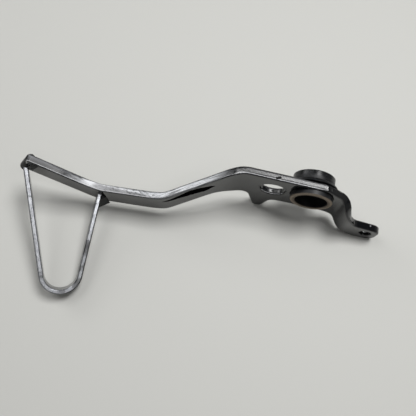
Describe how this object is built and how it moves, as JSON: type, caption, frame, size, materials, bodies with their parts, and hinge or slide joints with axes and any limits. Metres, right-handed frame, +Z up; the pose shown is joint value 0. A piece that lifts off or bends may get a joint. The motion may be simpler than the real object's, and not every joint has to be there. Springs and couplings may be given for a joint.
{
  "type": "rear brake pedal",
  "caption": "Bent flat-steel brake lever with a pivot sleeve, a rod end with a hole, a stop lug and a U-shaped toe loop welded across its front end.",
  "frame": {"origin": "middle of the pivot bore, on the plate's outer face", "axes": "+X towards the brake-rod end, -X towards the toe loop, -Y outwards to the rider's foot, +Z up"},
  "size_m": [0.2306, 0.1032, 0.0517],
  "materials": {
    "black_plate": "gloss black over steel",
    "black_strip": "gloss black over steel, thin on its edges",
    "sleeve_steel": "gloss black, bare on its front ring",
    "weld_black": "painted weld"
  },
  "bodies": {
    "root": {"pedal_arm": "black_plate", "pivot_sleeve": "sleeve_steel", "sleeve_weld": "weld_black", "toe_loop": "black_strip", "toe_weld": "weld_black", "heel_weld": "weld_black"}
  },
  "joints": []
}
